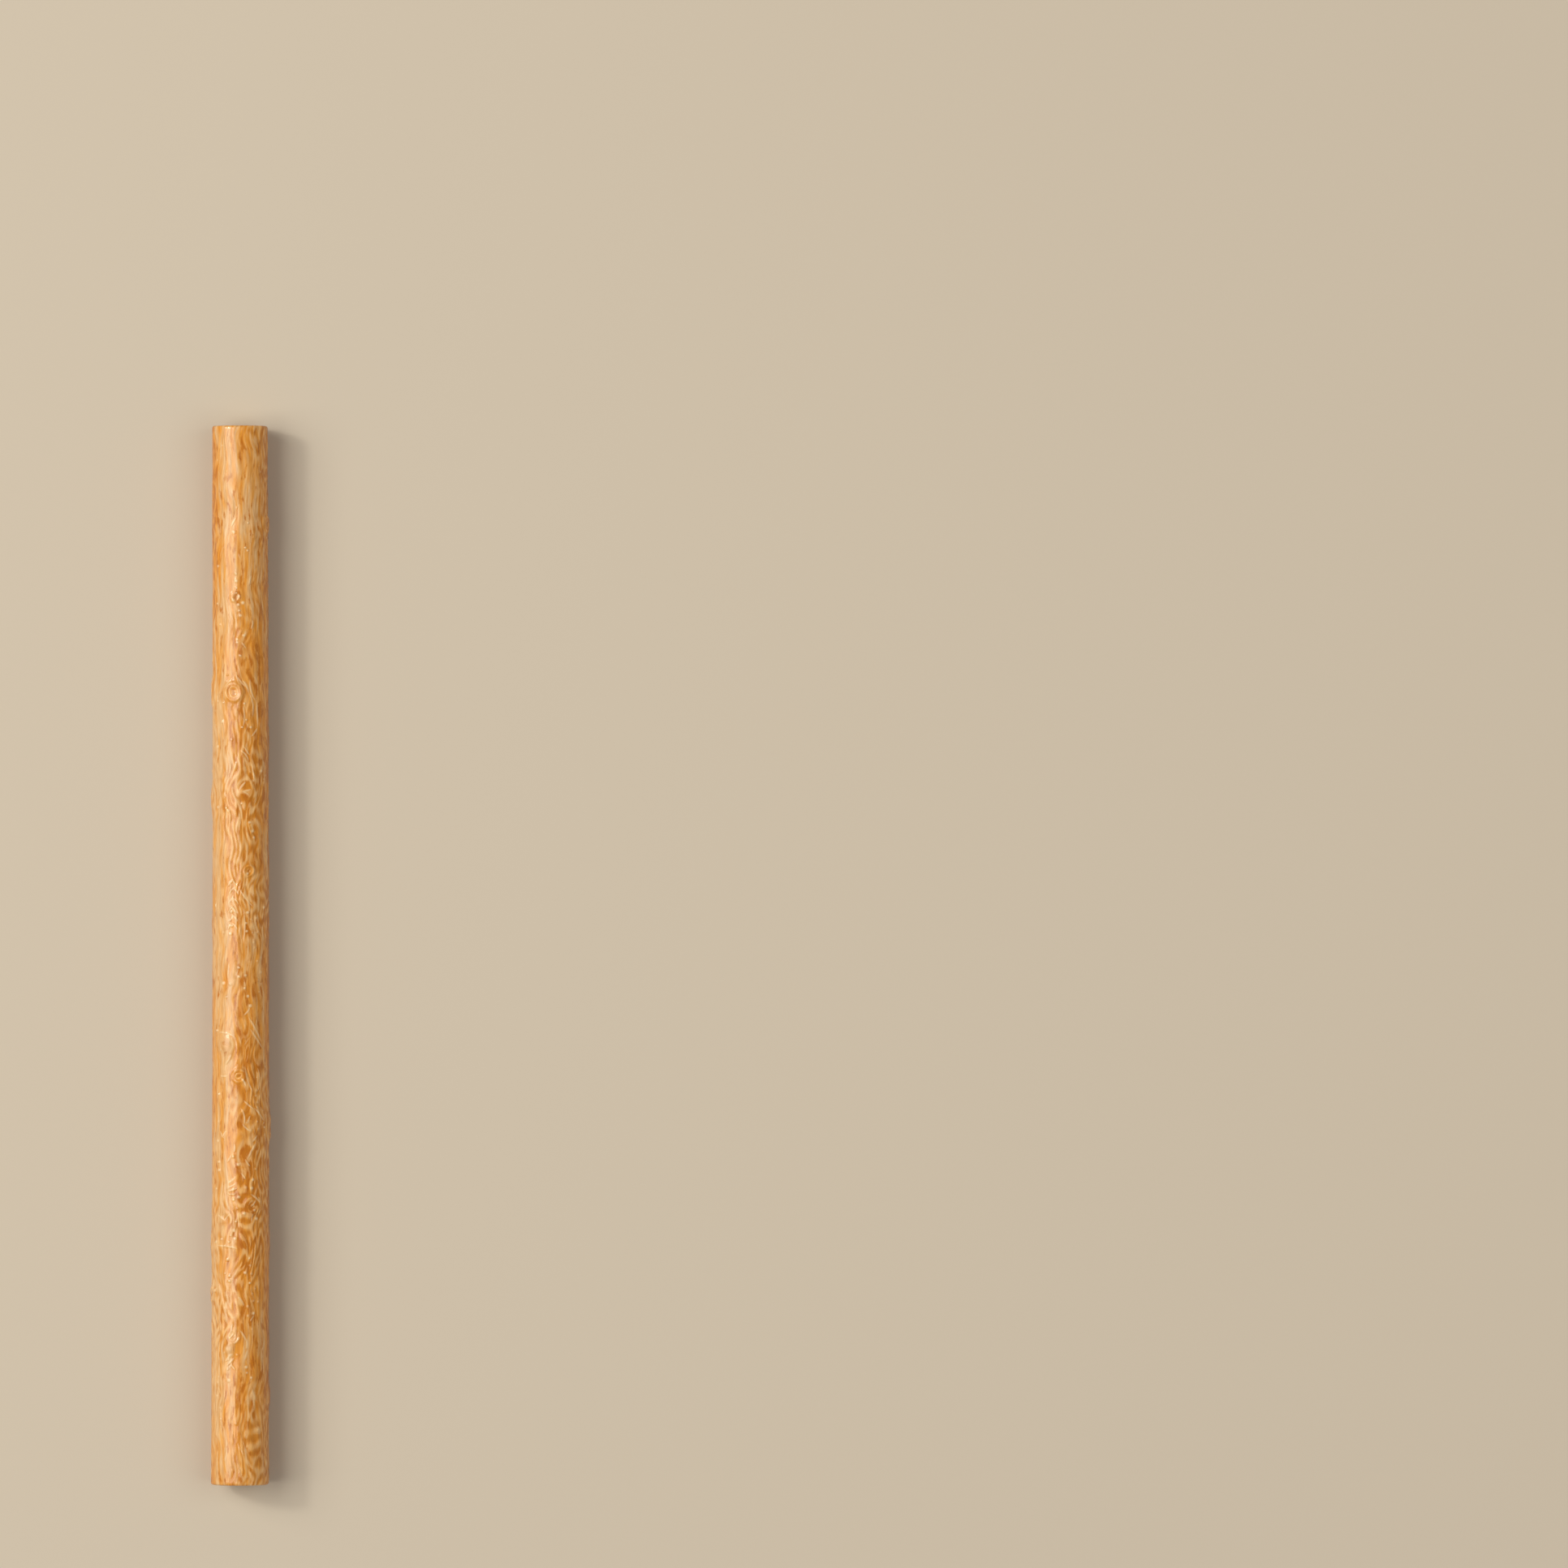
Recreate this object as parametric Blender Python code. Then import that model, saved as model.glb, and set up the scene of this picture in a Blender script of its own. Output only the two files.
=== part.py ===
"""Miswak stick: one round length of root in its skin, cut square at both ends, lying along Y.

Everything is one solid. Its surface is a radius worked out for every place along and around
the stick: a slight taper, knots, a swollen joint, and low ridges that flow past the knots.
"""

import math
from collections import namedtuple

import bmesh
import bpy
import numpy as np

MM = 0.001

# The whole stick
LENGTH = 150.0 * MM
FOOT_RADIUS = 4.05 * MM  # at the end on -Y, the thicker one
TIP_RADIUS = 3.88 * MM  # at the end on +Y
MEAN_RADIUS = (FOOT_RADIUS + TIP_RADIUS) / 2
BOW = 0.12 * MM  # how far its middle stands out to +X
OVAL = 0.04 * MM  # how much wider than round it is
FLOOR_GAP = 0.15 * MM  # under its plain surface, where no knot touches the floor
AXIS_HEIGHT = FOOT_RADIUS + FLOOR_GAP

# The cut ends
RIM_WEAR = 0.30 * MM  # how far the cut edge is rounded over
RIM_STEPS = np.radians([30.0, 60.0, 90.0])

# Ridges along the stick
RIDGES_ROUND = 14
RIDGE_HEIGHT = 0.10 * MM
RIDGE_SWAY = 1.7  # how far a ridge wanders sideways, in radians of its own wave
SWAY_LENGTH = 17.0 * MM
SWAY_TWIST = 2  # times that the sway changes side on the way round
SWELL_LENGTH = 8.5 * MM  # from one high stretch of a ridge to the next
SWELL_TWIST = 3
SWELL_SHARE = 0.45  # how much of a ridge's height comes and goes
FLOW_REACH = 3.2  # how far a knot turns the ridges aside, in times its own radius
FLOW_CORE = 0.5  # inside this, in times its radius, a knot turns them no further

BARK_COLOUR = (0.73, 0.39, 0.14, 1.0)
BARK_ROUGHNESS = 0.38

# The fine grid that the surface is worked out on, and the facets that are kept of it
STEPS_ROUND = 150
STEPS_ALONG = 840
FACETS = 9400

# A knot: its place along the stick and round it (degrees from the top, towards +X), the
# radius of its ring, and the heights of its swelling and ring and the depth of its eye.
Knot = namedtuple("Knot", "along around reach swell ring eye")

# A knot's parts, in times the radius of its ring
SWELLING_REACH = 1.35
RING_WIDTH = 0.34
EYE_REACH = 0.45

UPPER_KNOTS = [
    Knot(50.7 * MM, -7.0, 0.65 * MM, 0.08 * MM, 0.10 * MM, 0.20 * MM),
    Knot(37.3 * MM, -12.5, 1.15 * MM, 0.10 * MM, 0.16 * MM, 0.28 * MM),
    Knot(23.2 * MM, 14.5, 0.90 * MM, 0.10 * MM, 0.14 * MM, 0.18 * MM),
    Knot(12.0 * MM, 19.0, 0.70 * MM, 0.08 * MM, 0.12 * MM, 0.22 * MM),
    Knot(-12.7 * MM, -30.0, 1.15 * MM, 0.24 * MM, 0.00 * MM, 0.00 * MM),
    Knot(-17.0 * MM, -1.5, 1.05 * MM, 0.10 * MM, 0.15 * MM, 0.22 * MM),
    Knot(-23.2 * MM, 17.5, 1.70 * MM, 0.14 * MM, 0.13 * MM, 0.34 * MM),
    Knot(-35.4 * MM, 27.0, 1.00 * MM, 0.10 * MM, 0.12 * MM, 0.22 * MM),
    Knot(-37.2 * MM, -28.5, 0.95 * MM, 0.00 * MM, 0.10 * MM, 0.16 * MM),
    Knot(-53.8 * MM, -13.0, 0.90 * MM, 0.08 * MM, 0.12 * MM, 0.22 * MM),
    Knot(-55.6 * MM, -23.0, 0.65 * MM, 0.18 * MM, 0.00 * MM, 0.00 * MM),
]
SIDE_KNOTS = [
    Knot(37.3 * MM, -88.0, 1.30 * MM, 0.22 * MM, 0.08 * MM, 0.12 * MM),
    Knot(22.2 * MM, -94.0, 1.20 * MM, 0.20 * MM, 0.06 * MM, 0.10 * MM),
    Knot(-24.3 * MM, 90.0, 1.40 * MM, 0.26 * MM, 0.08 * MM, 0.16 * MM),
    Knot(61.0 * MM, 74.0, 1.00 * MM, 0.14 * MM, 0.12 * MM, 0.20 * MM),
    Knot(4.5 * MM, -118.0, 1.20 * MM, 0.16 * MM, 0.12 * MM, 0.24 * MM),
    Knot(-62.5 * MM, 104.0, 1.10 * MM, 0.16 * MM, 0.10 * MM, 0.18 * MM),
    Knot(31.0 * MM, 121.0, 1.00 * MM, 0.14 * MM, 0.12 * MM, 0.20 * MM),
    Knot(-48.0 * MM, -76.0, 0.90 * MM, 0.12 * MM, 0.12 * MM, 0.18 * MM),
]
# These four carry the stick. They stand out far enough to be worn flat by the floor.
REST_ANGLE = 19.0  # how far to either side of straight down they are
REST_REACH = 1.75 * MM
REST_SWELL = 0.66 * MM
REST_PLACES = [54.0 * MM, 15.0 * MM, -21.0 * MM, -58.0 * MM]

# A joint where the stick is a little thicker all round
JOINT_ALONG = -40.9 * MM
JOINT_REACH = 1.5 * MM
JOINT_HEIGHT = 0.13 * MM


def rest_knots():
    """The four knots underneath, to the right and to the left of straight down by turns."""
    sides = [180.0 - REST_ANGLE, 180.0 + REST_ANGLE]
    return [
        Knot(along, sides[i % 2], REST_REACH, REST_SWELL, 0.0, 0.0)
        for i, along in enumerate(REST_PLACES)
    ]


def offset_from(knot, along, around):
    """How far places are from a knot on the unrolled surface: sideways, and in all."""
    turn = around - math.radians(knot.around)
    sideways = MEAN_RADIUS * np.arctan2(np.sin(turn), np.cos(turn))
    return sideways, np.hypot(sideways, along - knot.along)


def bump(distance, reach):
    """A round bump: 1 in its middle, falling away over reach."""
    return np.exp(-((distance / reach) ** 2))


def knot_relief(knot, distance):
    """A swelling, a ring on it, and an eye in the middle."""
    swelling = knot.swell * bump(distance, SWELLING_REACH * knot.reach)
    ring = knot.ring * bump(distance - knot.reach, RING_WIDTH * knot.reach)
    return swelling + ring - knot.eye * bump(distance, EYE_REACH * knot.reach)


def grain_turn(knots, along, around):
    """The angle that the grain has at each place, bent aside by the knots as a stream is."""
    turned = around.copy()
    for knot in knots:
        sideways, distance = offset_from(knot, along, around)
        bend = knot.reach**2 * sideways / (distance**2 + (FLOW_CORE * knot.reach) ** 2)
        turned -= bend * bump(distance, FLOW_REACH * knot.reach) / MEAN_RADIUS
    return turned


def ridge_relief(knots, along, around):
    """Low rounded ridges along the grain, each swelling and fading as it goes."""
    grain = grain_turn(knots, along, around)
    sway = RIDGE_SWAY * np.sin(2 * math.pi * along / SWAY_LENGTH + SWAY_TWIST * grain)
    wave = np.cos(RIDGES_ROUND * grain + sway)
    swell = np.sin(2 * math.pi * along / SWELL_LENGTH + SWELL_TWIST * grain)
    return RIDGE_HEIGHT * wave * (1 - SWELL_SHARE + SWELL_SHARE * swell)


def surface_radius(along, around):
    """The stick's radius at each place along it and round it."""
    share = along / LENGTH + 0.5
    radius = FOOT_RADIUS + (TIP_RADIUS - FOOT_RADIUS) * share
    radius = radius - OVAL * np.cos(2 * around)
    radius = radius + JOINT_HEIGHT * bump(along - JOINT_ALONG, JOINT_REACH)
    knots = UPPER_KNOTS + SIDE_KNOTS + rest_knots()
    for knot in knots:
        radius = radius + knot_relief(knot, offset_from(knot, along, around)[1])
    radius = radius + ridge_relief(knots, along, around)
    return radius - rim_loss(along)


def rim_loss(along):
    """How much of the radius the worn edge of a cut end takes away."""
    into_rim = np.clip(np.abs(along) - (LENGTH / 2 - RIM_WEAR), 0.0, RIM_WEAR)
    return RIM_WEAR - np.sqrt(RIM_WEAR**2 - into_rim**2)


def surface_points():
    """The grid of points, a row for each step along the stick."""
    plain = np.linspace(-LENGTH / 2 + RIM_WEAR, LENGTH / 2 - RIM_WEAR, STEPS_ALONG)
    rim = RIM_WEAR * np.sin(RIM_STEPS)
    along = np.concatenate([plain[0] - rim[::-1], plain, plain[-1] + rim])
    around = np.arange(STEPS_ROUND) * 2 * math.pi / STEPS_ROUND
    along, around = np.meshgrid(along, around, indexing="ij")
    radius = surface_radius(along, around)
    bow = BOW * (1 - (2 * along / LENGTH) ** 2)
    x = bow + radius * np.sin(around)
    x = x - (x.max() + x.min()) / 2
    return np.stack([x, along, AXIS_HEIGHT + radius * np.cos(around)], axis=-1)


def stick_mesh(grid):
    """A closed mesh of the grid's rows, with a flat fan over each cut end."""
    rows, columns = grid.shape[:2]
    points = grid.reshape(-1, 3).tolist()
    faces = []
    for row in range(rows - 1):
        for column in range(columns):
            here = row * columns + column
            beside = row * columns + (column + 1) % columns
            faces.append((here, beside, beside + columns, here + columns))
    for row, turned in ((0, True), (rows - 1, False)):
        middle = len(points)
        points.append(grid[row].mean(axis=0).tolist())
        for column in range(columns):
            here = row * columns + column
            beside = row * columns + (column + 1) % columns
            faces.append((middle, beside, here) if turned else (middle, here, beside))
    mesh = bpy.data.meshes.new("miswak_stick")
    mesh.from_pydata(points, [], faces)
    mesh.validate()
    return mesh


def keep_facets(stick):
    """Leaves about FACETS triangles, the small ones where the surface bends most."""
    stick.data.calc_loop_triangles()
    fewer = stick.modifiers.new("Facets", "DECIMATE")
    fewer.decimate_type = "COLLAPSE"
    fewer.ratio = FACETS / len(stick.data.loop_triangles)
    fewer.use_collapse_triangulate = True


def wear_flat(stick):
    """Takes away what would reach below the floor, so that the lowest knots end in flats."""
    size = (4 * FOOT_RADIUS, 1.1 * LENGTH, 2 * REST_SWELL)
    block = bpy.data.meshes.new("worn_away")
    shape = bmesh.new()
    bmesh.ops.create_cube(shape, size=1.0)
    bmesh.ops.scale(shape, vec=size, verts=shape.verts)
    shape.to_mesh(block)
    shape.free()
    cutter = bpy.data.objects.new("worn_away", block)
    cutter.location = (0.0, 0.0, -size[2] / 2)
    cutter.hide_render = True
    cutter.display_type = "WIRE"
    bpy.context.scene.collection.objects.link(cutter)
    wear = stick.modifiers.new("Worn flats", "BOOLEAN")
    wear.operation = "DIFFERENCE"
    wear.object = cutter


def bark_material():
    """Warm orange-tan skin with a waxy shine."""
    material = bpy.data.materials.new("bark")
    material.use_nodes = True
    shader = material.node_tree.nodes["Principled BSDF"]
    shader.inputs["Base Color"].default_value = BARK_COLOUR
    shader.inputs["Roughness"].default_value = BARK_ROUGHNESS
    shader.inputs["Metallic"].default_value = 0.0
    return material


def main():
    for thing in list(bpy.data.objects):
        bpy.data.objects.remove(thing, do_unlink=True)
    mesh = stick_mesh(surface_points())
    mesh.shade_smooth()
    mesh.materials.append(bark_material())
    stick = bpy.data.objects.new("miswak_stick", mesh)
    bpy.context.scene.collection.objects.link(stick)
    keep_facets(stick)
    wear_flat(stick)


main()
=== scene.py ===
import math
from collections import namedtuple

import bpy
import numpy as np
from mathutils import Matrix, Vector


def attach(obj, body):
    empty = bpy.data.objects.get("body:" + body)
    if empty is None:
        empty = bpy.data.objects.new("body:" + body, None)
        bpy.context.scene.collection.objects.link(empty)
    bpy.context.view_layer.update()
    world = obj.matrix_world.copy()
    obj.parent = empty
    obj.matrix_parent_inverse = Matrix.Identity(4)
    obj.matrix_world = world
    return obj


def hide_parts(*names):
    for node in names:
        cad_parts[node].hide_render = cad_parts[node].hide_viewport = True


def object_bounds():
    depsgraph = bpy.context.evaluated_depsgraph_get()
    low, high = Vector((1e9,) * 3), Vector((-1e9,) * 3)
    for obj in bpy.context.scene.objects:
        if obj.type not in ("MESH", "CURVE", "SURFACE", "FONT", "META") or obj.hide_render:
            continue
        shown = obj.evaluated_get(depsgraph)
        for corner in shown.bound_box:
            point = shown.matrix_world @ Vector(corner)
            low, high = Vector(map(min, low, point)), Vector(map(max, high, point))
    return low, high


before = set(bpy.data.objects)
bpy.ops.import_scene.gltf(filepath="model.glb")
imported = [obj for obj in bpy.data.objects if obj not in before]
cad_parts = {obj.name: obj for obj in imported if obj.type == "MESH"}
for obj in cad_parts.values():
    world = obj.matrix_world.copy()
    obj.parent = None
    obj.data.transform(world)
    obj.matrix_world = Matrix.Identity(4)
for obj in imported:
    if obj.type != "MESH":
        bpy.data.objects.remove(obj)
cad_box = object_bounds()

MM = 0.001
SEED = 41
STICK = "miswak_stick"

# The stick's form, as the frame has it
LENGTH = 150.0 * MM
FOOT_RADIUS = 4.05 * MM
TIP_RADIUS = 3.88 * MM
MEAN_RADIUS = (FOOT_RADIUS + TIP_RADIUS) / 2
GIRTH = 2 * math.pi * MEAN_RADIUS
BOW = 0.12 * MM
OVAL = 0.04 * MM
FLOOR_GAP = 0.15 * MM
AXIS_HEIGHT = FOOT_RADIUS + FLOOR_GAP
RIM_WEAR = 0.30 * MM
RIM_STEPS = np.radians([30.0, 60.0, 90.0])

RIDGES_ROUND = 14
RIDGE_HEIGHT = 0.04 * MM
RIDGE_SWAY = 1.7
SWAY_LENGTH = 17.0 * MM
SWAY_TWIST = 2
SWELL_LENGTH = 8.5 * MM
SWELL_TWIST = 3
SWELL_SHARE = 0.45
FLOW_REACH = 3.2
FLOW_CORE = 1.03

SWELLING_REACH = 1.35
RING_WIDTH = 0.34
EYE_REACH = 0.45

JOINT_ALONG = -40.9 * MM
JOINT_REACH = 1.5 * MM
JOINT_HEIGHT = 0.13 * MM

# A knot's place along the stick and round it (degrees from the top, towards +X), the radius
# of its ring, the heights of its swelling and ring and the depth of its eye, and how clear
# the fine rings in it are, 0 to 1
Knot = namedtuple("Knot", "along around reach swell ring eye rings")
KNOTS = [
    Knot(50.7 * MM, -7.0, 0.65 * MM, 0.08 * MM, 0.10 * MM, 0.20 * MM, 0.6),
    Knot(37.3 * MM, -12.5, 1.15 * MM, 0.10 * MM, 0.16 * MM, 0.28 * MM, 1.0),
    Knot(23.2 * MM, 14.5, 0.90 * MM, 0.10 * MM, 0.14 * MM, 0.18 * MM, 0.0),
    Knot(12.0 * MM, 19.0, 0.70 * MM, 0.08 * MM, 0.12 * MM, 0.22 * MM, 0.8),
    Knot(-12.7 * MM, -30.0, 1.15 * MM, 0.24 * MM, 0.00 * MM, 0.00 * MM, 0.0),
    Knot(-17.0 * MM, -1.5, 0.85 * MM, 0.08 * MM, 0.11 * MM, 0.12 * MM, 0.9),
    Knot(-23.2 * MM, 17.5, 1.70 * MM, 0.14 * MM, 0.13 * MM, 0.34 * MM, 0.0),
    Knot(-35.4 * MM, 27.0, 1.00 * MM, 0.10 * MM, 0.12 * MM, 0.22 * MM, 0.6),
    Knot(-37.2 * MM, -28.5, 0.95 * MM, 0.00 * MM, 0.10 * MM, 0.16 * MM, 0.0),
    Knot(-53.8 * MM, -13.0, 0.90 * MM, 0.08 * MM, 0.12 * MM, 0.22 * MM, 0.4),
    Knot(-55.6 * MM, -23.0, 0.65 * MM, 0.18 * MM, 0.00 * MM, 0.00 * MM, 0.0),
    Knot(37.3 * MM, -88.0, 1.30 * MM, 0.22 * MM, 0.08 * MM, 0.12 * MM, 0.5),
    Knot(22.2 * MM, -94.0, 1.20 * MM, 0.20 * MM, 0.06 * MM, 0.10 * MM, 0.5),
    Knot(-24.3 * MM, 90.0, 1.40 * MM, 0.26 * MM, 0.08 * MM, 0.16 * MM, 0.6),
    Knot(61.0 * MM, 74.0, 1.00 * MM, 0.14 * MM, 0.12 * MM, 0.20 * MM, 0.8),
    Knot(4.5 * MM, -118.0, 1.20 * MM, 0.16 * MM, 0.12 * MM, 0.24 * MM, 0.9),
    Knot(-62.5 * MM, 104.0, 1.10 * MM, 0.16 * MM, 0.10 * MM, 0.18 * MM, 0.7),
    Knot(31.0 * MM, 121.0, 1.00 * MM, 0.14 * MM, 0.12 * MM, 0.20 * MM, 0.8),
    Knot(-48.0 * MM, -76.0, 0.90 * MM, 0.12 * MM, 0.12 * MM, 0.18 * MM, 0.7),
    # the four that carry the stick
    Knot(54.0 * MM, 161.0, 1.75 * MM, 0.66 * MM, 0.00 * MM, 0.00 * MM, 0.0),
    Knot(15.0 * MM, 199.0, 1.75 * MM, 0.66 * MM, 0.00 * MM, 0.00 * MM, 0.0),
    Knot(-21.0 * MM, 161.0, 1.75 * MM, 0.66 * MM, 0.00 * MM, 0.00 * MM, 0.0),
    Knot(-58.0 * MM, 199.0, 1.75 * MM, 0.66 * MM, 0.00 * MM, 0.00 * MM, 0.0),
]

# Fine winding ridges, which grow out of noise: their spacing, how much longer than wide they
# are, their height, and how far they are drawn out of line
WORM_SPACING = 0.45 * MM
WORM_STRETCH = 3.3
WORM_HEIGHT = 0.030 * MM
WORM_ROUNDS = 10
WORM_NEAR = 0.18  # the reaches over which a ridge feeds itself and holds off others, in spacings
WORM_FAR = 0.42
WORM_PUSH = 1.5
WANDER = 0.36 * MM
# How strong they are: on the whole, how much that varies, and how much less on paler skin, which is
# the side painted pale as sheen and the pale bands
WORM_POWER = 0.58
WORM_VARIES = 0.55
WORM_PALER = 0.35
WORM_LIMITS = (0.1, 1.2)
KNOT_QUIET = 0.8  # how much of them a knot's rings put out
CREST_RANGE = 0.07 * MM  # the fine relief's whole range from groove to crest, for the colours
# How far along and round the soft noises reach that vary the ridges and the bands
SWAY_ROUND_PATCHES = (1.3 * MM, 0.9 * MM)
SWAY_ALONG_PATCHES = (2.0 * MM, 1.0 * MM)
STRENGTH_PATCHES = (4.0 * MM, 1.8 * MM)
BAND_PATCHES = (14.0 * MM, 2.0 * MM)
# How much of the ridges' wandering the colours' streaks follow
COLOUR_WANDER_ROUND = 0.6
COLOUR_WANDER_ALONG = 0.5

# In a knot: the fine rings' step, height, reach in knot radii and unevenness, and how oval they
# are; a slit with a lump beside it, turned at random by up to so many radians
RINGLET_STEP = 0.52 * MM
RINGLET_HEIGHT = 0.036 * MM
RINGLET_REACH = 1.2
RINGLET_WOBBLE = 0.11 * MM
RINGLET_OVAL = 1.12
SLIT_LENGTH = 0.36 * MM
SLIT_WIDTH = 0.15 * MM
SLIT_DEPTH = 0.06 * MM
LUMP_HEIGHT = 0.05 * MM
LUMP_ASIDE = 0.33 * MM
LUMP_REACH = 0.18 * MM
SLIT_TURN = 1.2
EYE_SHOWN = 0.4  # how much of an eye's depth is left open
FORM_LEAST = 0.35  # how much of its ring and eye a knot with no fine rings shows

# Round the stick, the skin is painted palest at this angle, as sheen on the side towards the key
# light, and painted darker on the far side as shade; its relief is smoothest where it is palest, and
# it has three paler bands
BANDS_ROUND = 3
PAINTED_SHEEN_ANGLE = math.radians(-54.0)
PAINTED_SHEEN_SHARE = 0.62  # how much of the paleness is that one side's, and not the bands'
BAND_SWAY = 0.6
BAND_SPAN = 0.34  # half the range from the darkest band to the palest, in the tone from 0 to 1
BAND_UNEVEN = 0.05

# Spots that can be seen on the stick's upper side, in millimetres across it and along it
SPOTS = [
    (1.3, 61.2), (-0.75, 59.9), (0.9, 57.7), (1.2, 57.3), (-0.5, 54.0), (-0.45, 53.0), (-0.4, 52.0),
    (-0.4, 51.3), (-0.85, 50.3), (-0.1, 49.6), (0.5, 49.9), (-0.1, 50.8), (0.05, 48.8), (0.15, 48.1),
    (0.65, 45.3), (-0.3, 44.7), (-0.3, 44.3), (0.15, 42.4), (-3.05, 55.1), (-3.15, 49.8),
    (-3.1, 36.0), (-2.3, 35.8), (0.7, 35.65), (-2.45, 33.1), (1.0, 33.35), (1.6, 32.3), (0.4, 32.3),
    (-3.1, 29.6), (3.0, 26.1), (-3.1, 21.0), (-1.9, 20.9), (0.3, 21.5), (1.4, 18.85), (1.8, 17.6),
    (2.0, 16.7), (1.1, 11.6), (-3.4, 7.1), (-1.2, 6.2), (1.1, 6.1), (0.9, 4.6), (1.0, 3.45),
    (3.3, 6.8), (-1.1, 4.25), (-1.3, 3.1), (-0.1, -1.7), (-0.05, -3.0), (0.85, -2.8), (-2.35, -3.9),
    (0.7, -4.6), (1.15, -5.75), (1.5, -7.1), (-3.2, -10.6), (-2.9, -19.6), (-3.05, -26.2),
    (-0.9, -28.4), (-2.95, -29.2), (-2.9, -30.35), (-0.15, -29.55), (1.85, -31.7), (1.7, -32.9),
    (-3.25, -33.0), (-0.1, -34.15), (-0.85, -34.5), (2.0, -36.0), (2.3, -37.2),
    (0.65, -36.45), (-0.5, -37.6), (3.3, -24.3), (-0.75, -38.9), (-1.2, -39.55), (-0.6, -40.0),
    (-1.4, -40.5), (-3.15, -40.5), (-2.0, -41.05), (-2.5, -40.1), (-1.65, -42.95), (1.4, -42.8),
    (0.8, -44.85), (-1.4, -45.3), (-1.4, -46.0), (-3.4, -47.4), (1.45, -46.3), (1.95, -50.6),
    (1.0, -58.2), (1.1, -59.0), (1.65, -59.7), (-1.45, -60.1),
]
# Short raised strokes there: across, along, length in millimetres, and lean in degrees
STROKES = [
    (-0.75, 61.3, 1.2, 30), (1.65, 53.1, 0.9, 15), (1.8, 46.8, 0.9, 15), (0.65, 43.9, 0.8, -35),
    (-1.45, 38.5, 1.8, 40), (0.2, 38.9, 1.8, -38), (0.85, 38.0, 1.5, -25), (1.45, 35.4, 3.4, -8),
    (2.0, 37.6, 3.0, -15), (2.5, 34.2, 4.0, -3), (0.4, 33.8, 2.8, 0), (2.1, 31.6, 1.2, 40),
    (1.0, 29.0, 1.5, -35), (0.75, 28.2, 1.5, -35), (-0.65, 26.9, 1.0, 20), (1.9, 26.1, 2.2, -8),
    (3.4, 26.9, 1.2, -20), (0.5, 24.0, 0.9, 35), (1.0, 23.4, 0.9, 75), (0.85, 22.9, 0.9, -60),
    (1.0, 8.25, 3.3, -38), (0.45, 4.0, 5.0, 1), (2.2, -10.5, 4.0, -31), (2.4, -11.8, 3.4, -37),
    (-1.9, -11.4, 3.0, 105), (-1.8, -41.3, 3.2, 97), (-1.65, -2.1, 2.2, 5), (1.0, -7.9, 1.0, 40),
    (-1.55, -14.7, 1.2, 35),
    (-2.25, -17.0, 0.8, 90), (0.5, -17.9, 1.0, -30), (1.45, -17.6, 3.5, -18), (2.35, -17.6, 3.5, 0),
    (0.35, -22.8, 2.2, -9), (1.0, -24.3, 1.3, -48), (1.3, -21.1, 1.7, -49), (2.7, -22.5, 2.3, -43),
    (1.3, -23.2, 0.8, 20), (-2.6, -25.3, 0.7, -30), (-2.1, -25.2, 0.7, 35),
    (2.1, -25.9, 0.8, 40), (1.7, -27.7, 2.4, 28),
    (1.2, -29.3, 0.9, -35), (-0.75, -27.25, 0.7, 5), (-1.45, -28.75, 0.6, 30), (-1.1, -31.7, 1.1, 50),
    (-1.1, -32.4, 1.1, 60), (-0.95, -33.1, 1.0, 70), (-1.0, -33.7, 0.8, 85), (0.5, -31.2, 0.8, -35),
    (1.9, -35.0, 0.8, 35), (2.2, -34.4, 1.6, -50), (-2.6, -37.1, 1.0, -55), (-1.8, -37.1, 0.9, 45),
    (1.8, -37.1, 0.9, 10), (0.3, -48.9, 1.0, -30), (1.8, -51.3, 0.7, 35), (-1.0, -52.7, 0.9, 10),
    (-1.1, -53.7, 0.9, 35), (-0.3, -54.4, 0.9, 40), (0.5, -53.8, 1.5, -30), (1.0, -54.9, 1.0, 0),
    (1.0, -56.5, 0.9, 15), (-1.4, -56.9, 1.2, 45), (-1.2, -57.5, 1.0, 45), (-1.4, -58.2, 0.8, 40),
    (-0.9, -58.2, 0.8, -40),
]
# The tops of a row of small arches there, each drawn as two strokes
ARCHES = [(-0.9, 10.3), (-0.85, 9.1), (-0.95, 7.8), (-1.0, 6.5), (-1.0, 5.3), (-1.05, 4.1)]
ARCH_LENGTH = 0.85
ARCH_LEAN = 42.0
ARCH_HALF = 0.30
SPOT_REACH = (0.14 * MM, 0.27 * MM)
SPOT_HEIGHT = (0.06 * MM, 0.12 * MM)
STROKE_REACH = (0.13 * MM, 0.20 * MM)
STROKE_HEIGHT = (0.030 * MM, 0.055 * MM)
STROKE_CURVE = 0.16  # how far a stroke bows aside, in times its length
STROKE_TAPER = 0.55  # how much narrower it is at its ends
STROKE_PALENESS = 0.72

# More of both, strewn over the whole skin: spots in chains along the grain, and single ones
CHAINS = 24
CHAIN_SPOTS = (3, 8)
CHAIN_STEP = (0.6 * MM, 2.2 * MM)
CHAIN_SWAY = 0.32 * MM
LONE_SPOTS = 110
LONE_STROKES = 170
LONE_LENGTH = (0.5 * MM, 2.4 * MM)
LONE_LEAN = 14.0  # degrees
END_ROOM = 2.5 * MM
STREWN_RAISED = 0.6  # how high and how pale they are beside the seen ones

# The surface's grid, closer on top than below, and the finer one that patterns are worked out on
STEPS_ROUND = 144
STEPS_ALONG = 630
TOP_CLOSER = 0.22
FIELD_ROUND = 256
FIELD_ALONG = 1536
CAP_RINGS = 24
MARK_STEPS = 8  # across one mark
MARK_STEP_ON = 0.6  # along one mark, in its half widths

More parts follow.
